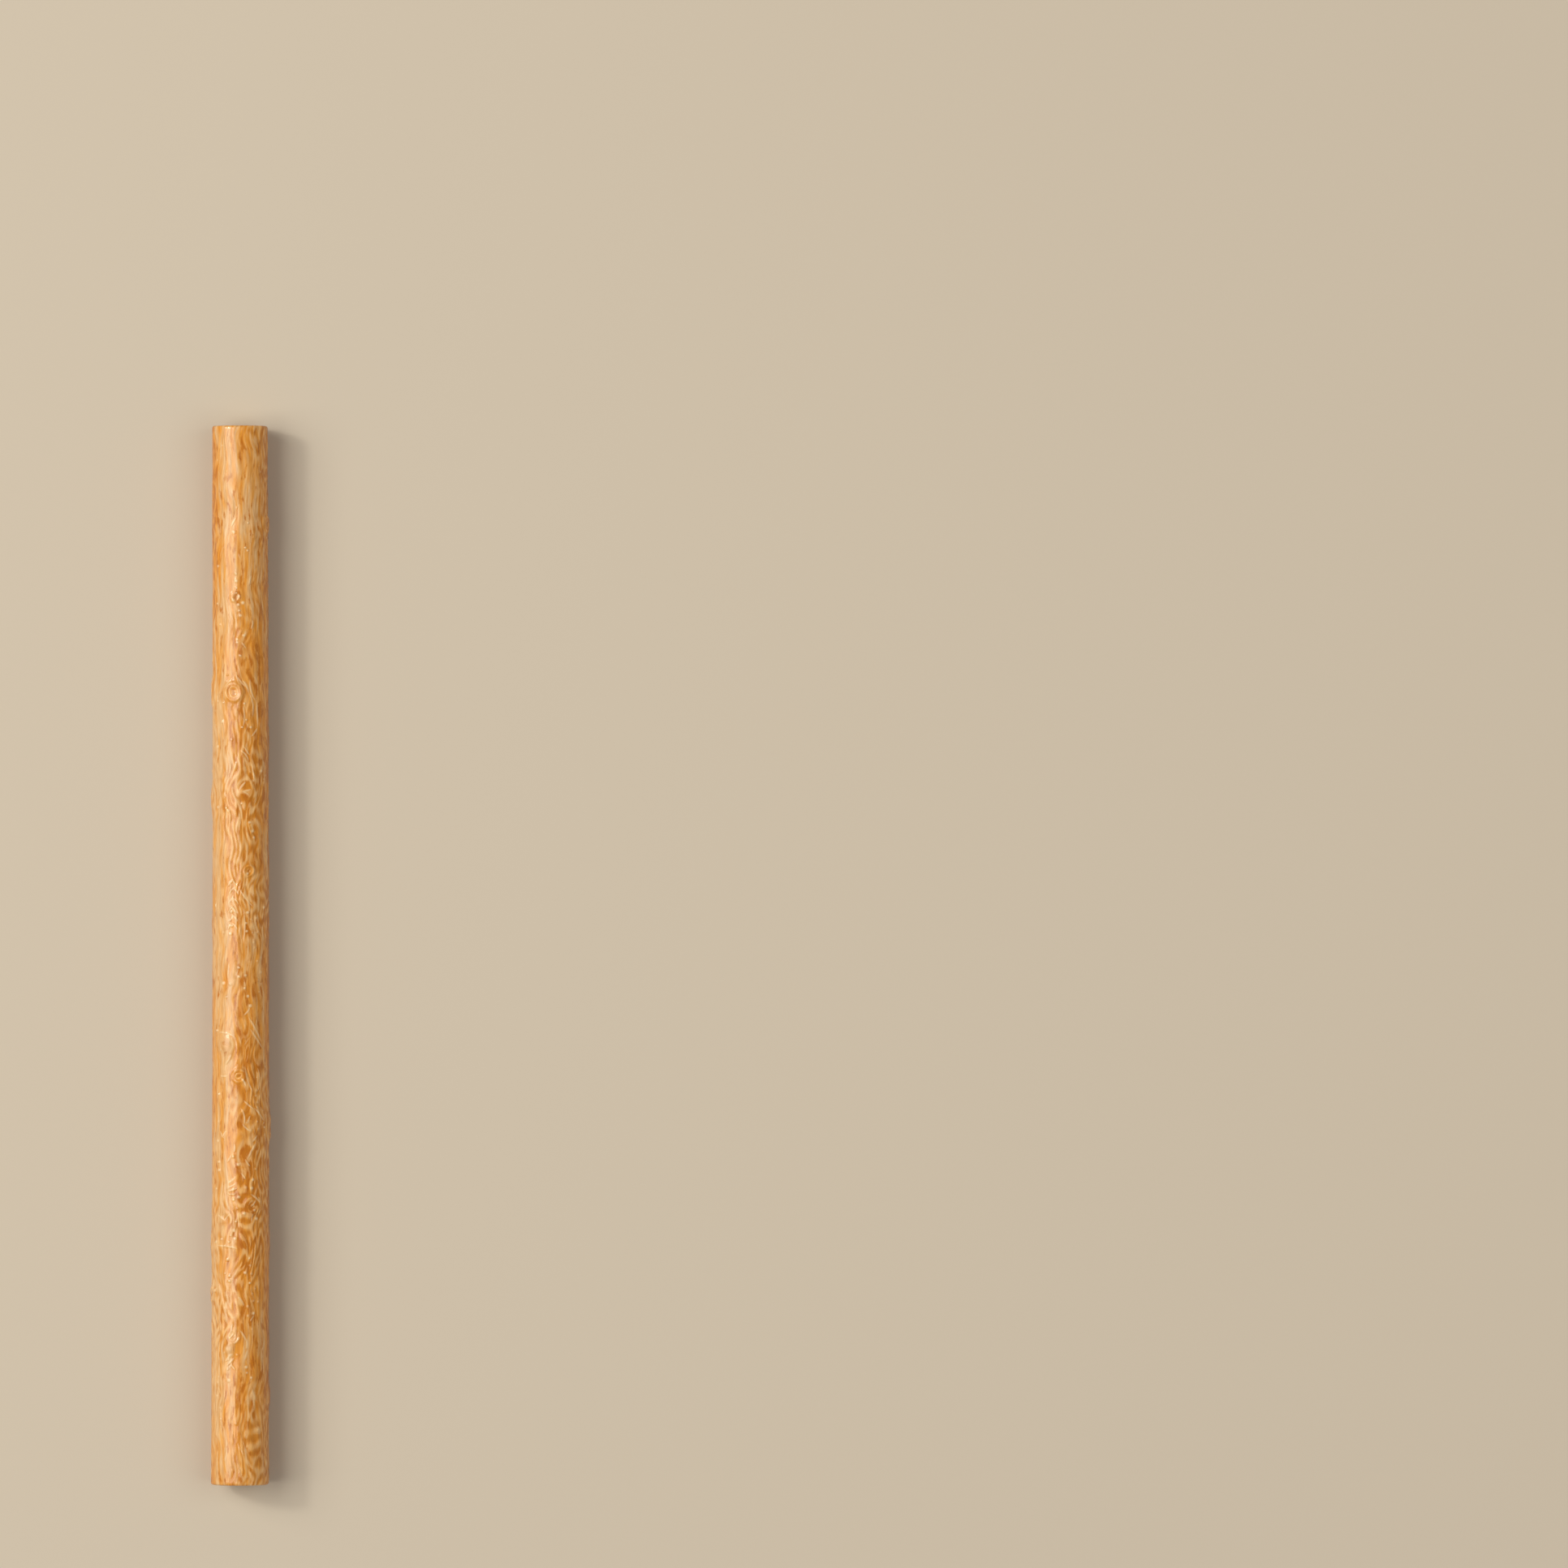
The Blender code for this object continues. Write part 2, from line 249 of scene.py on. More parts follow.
# A cut end: its pith and the seam between wood and bark are sunk, and the saw left low waves
PITH_REACH = 0.7 * MM
PITH_DEPTH = 0.10 * MM
BARK_SHARE = 0.885  # where the bark begins, in shares of the radius
SEAM_WIDTH = 0.03
SEAM_DEPTH = 0.04 * MM
SAW_STEP = 1.3 * MM
SAW_HEIGHT = 0.012 * MM
SAW_LEAN = 0.5
SAW_RIM = 0.125  # the share of the radius over which the waves fade out at the rim
SHARP_EDGE = math.radians(50.0)

# The fine patches over marks and knots, which lie a little above the skin and end below it
MARK_PATCH = 2.0  # how far a mark's patch reaches beyond its line, in its half widths
KNOT_STEP = 0.08 * MM
KNOT_PATCH = 2.0  # how far a knot's patch reaches, in knot radii
KNOT_ROUND = 0.97  # the share of that reach within which it lies on the skin
PATCH_LIFT = 0.004 * MM
PATCH_SINK = 0.03 * MM
PATCH_EDGE = 0.03  # the share of a mark below which its patch is sunk

# The camera looks straight down. The photograph is 1932 pixels wide at 0.115 mm to the pixel,
# and the stick's middle is at this pixel of it.
PHOTO_WIDTH = 1932
PIXEL = 0.115 * MM
STICK_PIXEL = (296.5, 1177.0)
CAMERA_HEIGHT = 2.0
SENSOR = 36.0

CLIP = (0.1, 10.0)

# How fine the noises in the colours are: on skin and wood in waves to a metre, the rays' by
# direction and the growth rings' by the share of the radius
STREAKS = (1500.0, 170.0, 1500.0)
FIBRES = (4200.0, 420.0, 4200.0)
BLOTCHES = (1700.0, 480.0, 1700.0)
PORES = (5200.0, 400.0, 5200.0)
UNEVEN = (420.0, 420.0, 420.0)
RAYS = (17.0, 17.0, 17.0)
RINGS = (13.0, 1.0, 1.0)

FLOOR_HALF = 10.0
FLOOR_DROP = 0.02 * MM
WARM = (1.0, 0.98, 0.885)
SKY = (1.0, 0.96, 0.90, 1.0)
SKY_STRENGTH = 0.24


def offset_from(knot, along, around):
    """How far places are from a knot on the unrolled surface: sideways, and in all."""
    turn = around - math.radians(knot.around)
    sideways = MEAN_RADIUS * np.arctan2(np.sin(turn), np.cos(turn))
    return sideways, np.hypot(sideways, along - knot.along)


def bump(distance, reach):
    """A round bump: 1 in its middle, falling away over reach."""
    return np.exp(-((distance / reach) ** 2))


def knot_relief(knot, distance):
    """A swelling, a ring on it, and an eye in the middle."""
    swelling = knot.swell * bump(distance, SWELLING_REACH * knot.reach)
    ring = knot.ring * bump(distance - knot.reach, RING_WIDTH * knot.reach)
    eye = EYE_SHOWN * knot.eye * bump(distance, EYE_REACH * knot.reach)
    return swelling + (FORM_LEAST + (1 - FORM_LEAST) * knot.rings) * (ring - eye)


def grain_turn(along, around):
    """The angle that the grain has at each place, bent aside by the knots as a stream is."""
    turned = around.copy()
    for knot in KNOTS:
        sideways, distance = offset_from(knot, along, around)
        bend = knot.reach**2 * sideways / (distance**2 + (FLOW_CORE * knot.reach) ** 2)
        turned -= bend * bump(distance, FLOW_REACH * knot.reach) / MEAN_RADIUS
    return turned


def ridge_relief(grain, along):
    """Low rounded ridges along the grain, each swelling and fading as it goes."""
    sway = RIDGE_SWAY * np.sin(2 * math.pi * along / SWAY_LENGTH + SWAY_TWIST * grain)
    wave = np.cos(RIDGES_ROUND * grain + sway)
    swell = np.sin(2 * math.pi * along / SWELL_LENGTH + SWELL_TWIST * grain)
    return RIDGE_HEIGHT * wave * (1 - SWELL_SHARE + SWELL_SHARE * swell)


def rim_loss(along):
    """How much of the radius the worn edge of a cut end takes away."""
    into_rim = np.clip(np.abs(along) - (LENGTH / 2 - RIM_WEAR), 0.0, RIM_WEAR)
    return RIM_WEAR - np.sqrt(RIM_WEAR**2 - into_rim**2)


def main_radius(along, around, grain):
    """The radius of the stick's main form."""
    share = along / LENGTH + 0.5
    radius = FOOT_RADIUS + (TIP_RADIUS - FOOT_RADIUS) * share
    radius = radius - OVAL * np.cos(2 * around)
    radius = radius + JOINT_HEIGHT * bump(along - JOINT_ALONG, JOINT_REACH)
    for knot in KNOTS:
        radius = radius + knot_relief(knot, offset_from(knot, along, around)[1])
    return radius + ridge_relief(grain, along) - rim_loss(along)


def blur_filter(along, around):
    """What a blur of that reach does to each wave of a field, for use on its transform."""
    waves_along = np.fft.fftfreq(FIELD_ALONG, LENGTH / FIELD_ALONG)[:, None]
    waves_round = np.fft.rfftfreq(FIELD_ROUND, GIRTH / FIELD_ROUND)[None, :]
    return np.exp(-2 * math.pi**2 * ((waves_along * along) ** 2 + (waves_round * around) ** 2))


def filtered(field, wanted):
    return np.fft.irfft2(np.fft.rfft2(field) * wanted, s=field.shape)


def smooth_field(draw, along, around):
    """Soft noise over the whole skin, about -2 to 2, with patches of that reach."""
    field = filtered(draw.standard_normal((FIELD_ALONG, FIELD_ROUND)), blur_filter(along, around))
    return (field - field.mean()) / field.std()


def worm_field(draw):
    """Worm-like ridges, -1 to 1, which grow out of noise as each ridge holds off its neighbours."""
    stretch, spacing = WORM_STRETCH, WORM_SPACING
    near = blur_filter(WORM_NEAR * spacing * stretch, WORM_NEAR * spacing)
    far = blur_filter(WORM_FAR * spacing * stretch, WORM_FAR * spacing)
    field = draw.standard_normal((FIELD_ALONG, FIELD_ROUND))
    for _ in range(WORM_ROUNDS):
        field = filtered(field, near - far)
        field = np.tanh(WORM_PUSH * field / field.std())
    return filtered(field, blur_filter(WORM_NEAR / 2 * spacing * stretch, WORM_NEAR / 2 * spacing))


def read_field(field, along, angle):
    """The field's value at places on the skin, between its points, and joined all round."""
    rows, columns = field.shape
    row = (along / LENGTH % 1.0) * rows
    column = (angle / (2 * math.pi) % 1.0) * columns
    low_row, low_column = np.floor(row).astype(int), np.floor(column).astype(int)
    part_row, part_column = row - low_row, column - low_column
    low_row, low_column = low_row % rows, low_column % columns
    high_row, high_column = (low_row + 1) % rows, (low_column + 1) % columns
    low = field[low_row, low_column] * (1 - part_column) + field[low_row, high_column] * part_column
    high = field[high_row, low_column] * (1 - part_column) + field[high_row, high_column] * part_column
    return low * (1 - part_row) + high * part_row


# A spot or stroke: its middle, its length and lean, how far it bows aside, and its half width
# and height, and how pale it is
Mark = namedtuple("Mark", "along around length lean bow reach height pale")


def spot(draw, along, around, raised=1.0):
    height = raised * draw.uniform(*SPOT_HEIGHT)
    return Mark(along, around, 0.0, 0.0, 0.0, draw.uniform(*SPOT_REACH), height, raised)


def stroke(draw, along, around, length, lean, raised=1.0):
    bow = draw.uniform(-STROKE_CURVE, STROKE_CURVE) * length
    reach, height = draw.uniform(*STROKE_REACH), raised * draw.uniform(*STROKE_HEIGHT)
    pale = STROKE_PALENESS * raised
    return Mark(along, around, length, math.radians(lean), bow, reach, height, pale)


def angle_at(across):
    """The angle round the stick of a place so many millimetres across it, seen from above."""
    return math.asin(across * MM / MEAN_RADIUS)


def seen_marks(draw):
    """The spots, strokes and arches of the upper side."""
    marks = []
    for across, along in SPOTS:
        marks.append(spot(draw, along * MM, angle_at(across)))
    for across, along, length, lean in STROKES:
        marks.append(stroke(draw, along * MM, angle_at(across), length * MM, lean))
    for across, along in ARCHES:
        for side in (-1, 1):
            around = angle_at(across + side * ARCH_HALF)
            marks.append(stroke(draw, along * MM, around, ARCH_LENGTH * MM, -side * ARCH_LEAN))
    return marks


def strewn_marks(draw):
    """Seeded spots and strokes over the whole skin, lower than the others."""
    def anywhere():
        return draw.uniform(END_ROOM - LENGTH / 2, LENGTH / 2 - END_ROOM), draw.uniform(0, 2 * math.pi)

    marks = []
    for _ in range(CHAINS):
        along, around = anywhere()
        for _ in range(draw.integers(*CHAIN_SPOTS)):
            marks.append(spot(draw, along, around, STREWN_RAISED))
            along += draw.uniform(*CHAIN_STEP)
            around += draw.normal() * CHAIN_SWAY / MEAN_RADIUS
    for _ in range(LONE_SPOTS):
        marks.append(spot(draw, *anywhere(), STREWN_RAISED))
    for _ in range(LONE_STROKES):
        length, lean = draw.uniform(*LONE_LENGTH), draw.normal() * LONE_LEAN
        marks.append(stroke(draw, *anywhere(), length, lean, STREWN_RAISED))
    return [mark for mark in marks if abs(mark.along) < LENGTH / 2 - END_ROOM]


def knot_detail(along, around, wobble):
    """Fine rings of the knots, with the slit and lump in each eye: relief, knot and pit shares."""
    draw = np.random.default_rng(SEED + 1)
    relief, share, pit = np.zeros_like(along), np.zeros_like(along), np.zeros_like(along)
    for knot in KNOTS:
        sideways, distance = offset_from(knot, along, around)
        lean = draw.uniform(-SLIT_TURN, SLIT_TURN)
        if knot.rings == 0:
            continue
        share = np.maximum(share, knot.rings * bump(distance, RINGLET_REACH * knot.reach))
        lengthwise = along - knot.along
        onward = lengthwise * math.cos(lean) + sideways * math.sin(lean)
        across = sideways * math.cos(lean) - lengthwise * math.sin(lean)
        oval = np.hypot(onward / RINGLET_OVAL, across * RINGLET_OVAL) + wobble
        rings = np.cos(2 * math.pi * (oval - knot.reach) / RINGLET_STEP)
        rings = knot.rings * rings * bump(distance**2, (RINGLET_REACH * knot.reach) ** 2)
        slit = bump(onward, SLIT_LENGTH) * bump(across, SLIT_WIDTH)
        lump = bump(np.hypot(onward, across - LUMP_ASIDE), LUMP_REACH)
        relief += RINGLET_HEIGHT * rings + knot.rings * (LUMP_HEIGHT * lump - SLIT_DEPTH * slit)
        pit = np.maximum(pit, knot.rings * slit)
    return relief, share, pit


class Skin:
    """The stick's surface: where each place on it is, and what its colours follow."""

    def __init__(self):
        draw = np.random.default_rng(SEED)
        self.worms = worm_field(draw)
        self.sway_round = smooth_field(draw, *SWAY_ROUND_PATCHES)
        self.sway_along = smooth_field(draw, *SWAY_ALONG_PATCHES)
        self.strength = smooth_field(draw, *STRENGTH_PATCHES)
        self.bands = smooth_field(draw, *BAND_PATCHES)
        self.shift = 0.0

    def read(self, along, around):
        """Radius, the knots' fine relief on it, and the tones that the material draws by."""
        grain = grain_turn(along, around)
        aside = read_field(self.sway_round, along, grain)
        onward = read_field(self.sway_along, along, grain)
        turned = grain + WANDER / MEAN_RADIUS * aside
        worm = read_field(self.worms, along + WANDER * onward, turned)
        knots, knot_share, pit = knot_detail(along, around, RINGLET_WOBBLE * aside)
        uneven = read_field(self.bands, along, grain)
        bands = np.cos(BANDS_ROUND * (grain - PAINTED_SHEEN_ANGLE) + BAND_SWAY * uneven)
        # the one-sided term is painted light: paler towards the key light as painted sheen, darker on
        # the far side as painted shade
        bands = PAINTED_SHEEN_SHARE * np.cos(grain - PAINTED_SHEEN_ANGLE) + (1 - PAINTED_SHEEN_SHARE) * bands
        varies = WORM_VARIES * read_field(self.strength, along, grain)
        # the fine ridges are weaker where the skin is painted pale as sheen, and in the pale bands
        power = np.clip(WORM_POWER + varies - WORM_PALER * bands, *WORM_LIMITS)
        fine = WORM_HEIGHT * power * (1.0 - KNOT_QUIET * knot_share) * worm
        fade = np.clip((LENGTH / 2 - np.abs(along)) / RIM_WEAR, 0.0, 1.0)
        radius = main_radius(along, around, grain) + fine * fade

        traced = grain + COLOUR_WANDER_ROUND * WANDER / MEAN_RADIUS * aside
        tones = {
            "crest": np.clip(0.5 + (fine + knots) / CREST_RANGE, 0.0, 1.0),
            "pit": pit,
            # this tone carries the painted sheen and shade as well as the bands and their unevenness
            "band_and_sheen": np.clip(0.5 + BAND_SPAN * bands + BAND_UNEVEN * uneven, 0.0, 1.0),
            "mark": np.zeros_like(along),
            "grain_x": MEAN_RADIUS * np.sin(traced),
            "grain_y": along + COLOUR_WANDER_ALONG * WANDER * onward,
            "grain_z": MEAN_RADIUS * np.cos(traced),
        }
        return radius, knots, tones

    def keep_drawn(self, along, around, radius):
        """Notes the skin's own mesh, for the patches to lie on."""
        self.rows = along[:, 0]
        self.angles = np.append(around[0], 2 * math.pi)
        self.drawn = np.concatenate([radius, radius[:, :1]], axis=1)

    def drawn_radius(self, along, around):
        """The radius of the skin's own mesh at a place between its points."""
        row = np.interp(along, self.rows, np.arange(len(self.rows)))
        column = np.interp(around % (2 * math.pi), self.angles, np.arange(len(self.angles)))
        low_row = np.minimum(row.astype(int), len(self.rows) - 2)
        low_column = np.minimum(column.astype(int), len(self.angles) - 2)
        down, right = row - low_row, column - low_column
        first, second = self.drawn[low_row], self.drawn[low_row + 1]
        pick = np.arange(len(row))
        first = first[pick, low_column] * (1 - right) + first[pick, low_column + 1] * right
        second = second[pick, low_column] * (1 - right) + second[pick, low_column + 1] * right
        return first * (1 - down) + second * down

    def place(self, along, around, radius):
        bow = BOW * (1 - (2 * along / LENGTH) ** 2)
        x = bow + self.shift + radius * np.sin(around)
        z = np.maximum(AXIS_HEIGHT + radius * np.cos(around), 0.0)
        return np.stack([x, along, z], axis=-1)


def stick_grid():
    """Rows of angles for each step along the stick, closer together at the rims."""
    plain = np.linspace(-LENGTH / 2 + RIM_WEAR, LENGTH / 2 - RIM_WEAR, STEPS_ALONG)
    rim = RIM_WEAR * np.sin(RIM_STEPS)
    along = np.concatenate([plain[0] - rim[::-1], plain, plain[-1] + rim])
    turn = np.arange(STEPS_ROUND) * 2 * math.pi / STEPS_ROUND
    around = turn - TOP_CLOSER * np.sin(turn)
    return np.meshgrid(along, around, indexing="ij")


def cap_points(edge, inward):
    """Rings of points from a cut edge to its middle, and how far out each is, 0 to 1."""
    middle = edge.mean(axis=0)
    share = np.linspace(1.0, 0.0, CAP_RINGS + 1)[1:-1].repeat(len(edge))
    points = middle + (np.tile(edge, (CAP_RINGS - 1, 1)) - middle) * share[:, None]
    points, share = np.concatenate([points, middle[None, :]]), np.append(share, 0.0)
    sawn = (points[:, 0] + SAW_LEAN * points[:, 2]) / SAW_STEP
    sunk = SAW_HEIGHT * (1 - np.cos(2 * math.pi * sawn)) * np.clip((1 - share) / SAW_RIM, 0.0, 1.0)
    sunk += PITH_DEPTH * bump(share * MEAN_RADIUS, PITH_REACH)
    sunk += SEAM_DEPTH * bump(share - BARK_SHARE, SEAM_WIDTH)
    points[:, 1] += inward * sunk
    return points, share


def wall_faces(first, second, columns):
    """Four-sided faces between two rings of points, by their first points' numbers."""
    here = np.arange(columns)
    beside = (here + 1) % columns
    return np.stack([first + here, first + beside, second + beside, second + here], axis=1)


def cap_faces(edge, first, columns, inward):
    """The walls between a cap's rings, and the fan on its middle. The points of its cut edge are
    numbered from edge on, and its own from first on."""
    starts = [edge] + [first + ring * columns for ring in range(CAP_RINGS - 1)]
    walls = []
    for outer, inner in zip(starts, starts[1:]):
        pair = (inner, outer) if inward > 0 else (outer, inner)
        walls.append(wall_faces(*pair, columns))
    here = starts[-1] + np.arange(columns)
    beside = starts[-1] + (np.arange(columns) + 1) % columns
    middle = np.full(columns, first + (CAP_RINGS - 1) * columns)
    fan = (middle, beside, here) if inward > 0 else (middle, here, beside)
    return walls, np.stack(fan, axis=1)


def set_tones(mesh, tones, count):
    """Keeps each tone on the mesh's points, and 0.5 for points that it has no values for."""
    for name, values in tones.items():
        whole = np.full(count, 0.5, dtype=np.float32)
        whole[: values.size] = values.ravel()
        mesh.attributes.new(name, "FLOAT", "POINT").data.foreach_set("value", whole)


def stick_mesh(skin):
    """One closed mesh: the skin, and over each cut end rings that close on its middle."""
    along, around = stick_grid()
    radius, _, tones = skin.read(along, around)
    skin.keep_drawn(along, around, radius)
    x = skin.place(along, around, radius)[..., 0]
    skin.shift = (cad_box[0].x + cad_box[1].x - x.max() - x.min()) / 2
    grid = skin.place(along, around, radius)
    rows, columns = along.shape

    points, outward = [grid.reshape(-1, 3)], [np.ones(rows * columns)]
    quads = [wall_faces(row * columns, (row + 1) * columns, columns) for row in range(rows - 1)]
    fans = []
    for row, inward in ((0, 1.0), (rows - 1, -1.0)):
        walls, fan = cap_faces(row * columns, sum(map(len, points)), columns, inward)
        cap, share = cap_points(grid[row], inward)
        points.append(cap)
        outward.append(share)
        quads += walls
        fans.append(fan)

    points = np.concatenate(points)
    tones["outward"] = np.concatenate(outward)
    faces = np.concatenate(quads).tolist() + np.concatenate(fans).tolist()
    mesh = bpy.data.meshes.new("stick")
    mesh.from_pydata(points.tolist(), [], faces)
    mesh.materials.append(bark_material())
    mesh.materials.append(cut_material())
    slots = np.ones(len(faces), dtype=np.int32)
    slots[: (rows - 1) * columns] = 0
    mesh.polygons.foreach_set("material_index", slots)
    set_tones(mesh, tones, len(points))
    mesh.shade_smooth()
    mesh.set_sharp_from_angle(angle=SHARP_EDGE)
    mesh.update()
    return mesh


def mark_patch(mark):
    """A small grid over one mark: along, around, height, how much is mark at its points, and
    which of them lie on the skin."""
    reach = mark.reach
    limit = mark.length / 2 + MARK_PATCH * reach
    across = np.linspace(-MARK_PATCH, MARK_PATCH, MARK_STEPS + 1) * reach
    steps = MARK_STEPS + round(mark.length / (MARK_STEP_ON * reach))
    onward, across = np.meshgrid(np.linspace(-limit, limit, steps + 1), across, indexing="ij")
    bowed = across + mark.bow * (1 - (onward / limit) ** 2)
    sideways = bowed * math.cos(mark.lean) + onward * math.sin(mark.lean)
    lengthwise = onward * math.cos(mark.lean) - bowed * math.sin(mark.lean)
    if mark.length > 0:
        width = reach * (1 - STROKE_TAPER * (onward / limit) ** 2)
        share = bump(across, width) * (1 - (onward / limit) ** 4)
    else:
        share = bump(np.hypot(across, onward), reach)
    around = mark.around + sideways / MEAN_RADIUS
    kept = share > PATCH_EDGE
    return mark.along + lengthwise, around, mark.height * share, mark.pale * share, kept


def knot_patch(knot):
    """A grid over one knot for its fine rings, with the same values as a mark's."""
    half = KNOT_PATCH * knot.reach
    steps = np.linspace(-half, half, round(2 * half / KNOT_STEP))
    lengthwise, sideways = np.meshgrid(steps, steps, indexing="ij")
    around = math.radians(knot.around) + sideways / MEAN_RADIUS
    flat = np.zeros_like(lengthwise)
    kept = np.hypot(lengthwise, sideways) < KNOT_ROUND * half
    return knot.along + lengthwise, around, flat, flat, kept


def patch_mesh(skin, patches, material):
    """Fine patches that lie on the skin's mesh, with the detail it is too coarse for. Their rims
    are sunk, and they are shaded by the true surface's slope."""
    shapes = [patch[0].shape for patch in patches]
    joined = (np.concatenate([patch[n].ravel() for patch in patches]) for n in range(5))
    along, around, height, share, kept = joined
    radius, knots, tones = skin.read(along, around)
    tones["mark"] = share
    shaded = skin.place(along, around, radius + knots + height)
    drawn = skin.drawn_radius(along, around)
    raised = skin.place(along, around, drawn + knots + height + PATCH_LIFT)
    sunk = skin.place(along, around, drawn - PATCH_SINK)
    raised[~kept] = sunk[~kept]

    normals, faces, first = [], [], 0
    for rows, columns in shapes:
        count = rows * columns
        grid = shaded[first : first + count].reshape(rows, columns, 3)
        slope_on, slope_across = np.gradient(grid, axis=(0, 1))
        normal = np.cross(slope_on, slope_across)
        normal /= np.linalg.norm(normal, axis=-1, keepdims=True)
        normals.append(normal.reshape(-1, 3))
        number = first + np.arange(count).reshape(rows, columns)
        corners = [number[:-1, :-1], number[1:, :-1], number[1:, 1:], number[:-1, 1:]]
        faces.append(np.stack(corners, axis=-1).reshape(-1, 4))
        first += count

    # what is sunk all round would lie unseen under the skin, so it is left out
    faces = np.concatenate(faces)
    faces = faces[kept[faces].any(axis=1)]
    used, faces = np.unique(faces, return_inverse=True)
    tones = {name: values[used] for name, values in tones.items()}
    mesh = bpy.data.meshes.new("patches")
    mesh.from_pydata(raised[used].tolist(), [], faces.reshape(-1, 4).tolist())
    mesh.materials.append(material)
    set_tones(mesh, tones, len(used))
    mesh.shade_smooth()
    mesh.normals_split_custom_set_from_vertices(np.concatenate(normals)[used].tolist())
    mesh.update()
    return mesh


class Nodes:
    """A material's nodes, made and joined in one call each."""

    def __init__(self, name):
        self.material = bpy.data.materials.new(name)
        self.material.use_nodes = True
        self.tree = self.material.node_tree
        self.shader = self.tree.nodes["Principled BSDF"]

    def add(self, kind, settings=None, **inputs):
        node = self.tree.nodes.new("ShaderNode" + kind)
        for name, value in (settings or {}).items():
            setattr(node, name, value)
        for name, value in inputs.items():
            self.set(node, name.replace("_", " "), value)
        return node

    def set(self, node, name, value):
        socket = node.inputs[int(name) if name.isdigit() else name]
        if isinstance(value, bpy.types.NodeSocket):
            self.tree.links.new(value, socket)
        else:
            socket.default_value = value

    def tone(self, name):
        node = self.add("Attribute", {"attribute_name": name})
        return node.outputs["Fac"]

    def place(self, x=0.0, y=0.0, z=0.0):
        return self.add("CombineXYZ", X=x, Y=y, Z=z).outputs[0]

    def fade(self, factor, start, end, first, last):
        """A grey ramp from one level to another between two values of the factor."""
        return self.ramp(factor, [(start, (first,) * 3 + (1.0,)), (end, (last,) * 3 + (1.0,))])

    def ramp(self, factor, stops):
        node = self.add("ValToRGB", Fac=factor)
        points = node.color_ramp.elements
        while len(points) < len(stops):
            points.new(0.5)
        for point, (place, colour) in zip(points, stops):
            point.position = place
            point.color = colour
        return node.outputs["Color"]

    def mix(self, factor, first, second, way="MIX"):
        node = self.add("Mix", {"data_type": "RGBA", "blend_type": way})
        for name, value in (("0", factor), ("6", first), ("7", second)):
            self.set(node, name, value)
        return node.outputs[2]

    def maths(self, way, first, second):
        node = self.add("Math", {"operation": way})
        self.set(node, "0", first)
        self.set(node, "1", second)
        return node.outputs[0]

    def total(self, start, *parts):
        """A plain value with each part added to it, times its weight."""
        for part, weight in parts:
            start = self.maths("ADD", self.maths("MULTIPLY", part, weight), start)
        return start

    def noise(self, place, scale, detail=3.0, roughness=0.55):
        """Noise that is drawn out or pressed in by a scale for each axis."""
        scaled = self.add("Mapping", Vector=place, Scale=scale).outputs[0]
        node = self.add("TexNoise", Vector=scaled, Scale=1.0, Detail=detail, Roughness=roughness)
        return node.outputs["Fac"]


def paint(red, green, blue):
    """A colour given as a screen shows it, 0 to 255, as the shader wants it."""
    def linear(value):
        value /= 255
        return value / 12.92 if value <= 0.04045 else ((value + 0.055) / 1.055) ** 2.4

    return (linear(red), linear(green), linear(blue), 1.0)


def bark_material():
    """Orange-tan skin: pale and amber bands and streaks, with painted sheen making the side towards
    the key light paler and painted shade making the far side darker, pale marks, and a waxy shine.
    """
    nodes = Nodes("bark")
    grain = nodes.place(nodes.tone("grain_x"), nodes.tone("grain_y"), nodes.tone("grain_z"))
    streaks = nodes.noise(grain, STREAKS, detail=4.0)
    fibres = nodes.noise(grain, FIBRES)

    band_and_sheen, crest = nodes.tone("band_and_sheen"), nodes.tone("crest")
    # the band tone lightens the colour on the side towards the key light as painted sheen and darkens
    # the far side as painted shade
    level = nodes.total(-1.07, (band_and_sheen, 1.0), (streaks, 1.8), (crest, 0.35))
    base = nodes.ramp(
        level,
        [
            (0.10, paint(222, 142, 40)),
            (0.38, paint(231, 154, 54)),
            (0.62, paint(234, 170, 90)),
            (0.90, paint(235, 190, 136)),
        ],
    )
    blotches = nodes.noise(grain, BLOTCHES, detail=4.0)
    # the blotches are held back where the painted sheen is
    blotch = nodes.fade(nodes.total(-0.3, (blotches, 3.0), (band_and_sheen, -1.2)), 0.56, 0.90, 0.0, 0.95)
    base = nodes.mix(blotch, base, paint(201, 120, 16))
    ridge = nodes.fade(crest, 0.58, 0.92, 0.0, 0.55)
    base = nodes.mix(ridge, base, paint(252, 200, 132))
    groove = nodes.fade(crest, 0.08, 0.42, 0.6, 0.0)
    base = nodes.mix(groove, base, paint(203, 126, 24))
    base = nodes.mix(nodes.maths("MULTIPLY", nodes.tone("pit"), 0.6), base, paint(156, 98, 34))
    pale = nodes.fade(nodes.tone("mark"), 0.25, 0.8, 0.0, 0.75)
    base = nodes.mix(pale, base, paint(255, 228, 184))
    light = nodes.ramp(fibres, [(0.32, paint(226, 210, 188)), (0.66, paint(255, 255, 255))])
    nodes.set(nodes.shader, "Base Color", nodes.mix(1.0, base, light, "MULTIPLY"))

    nodes.set(nodes.shader, "Roughness", 0.38)
    nodes.set(nodes.shader, "Specular IOR Level", 0.3)
    nodes.set(nodes.shader, "Coat Weight", 0.52)
    nodes.set(nodes.shader, "Coat Roughness", 0.15)
    relief = nodes.add("Bump", Strength=0.5, Distance=0.03 * MM, Height=fibres)
    nodes.set(nodes.shader, "Normal", relief.outputs[0])
    return nodes.material


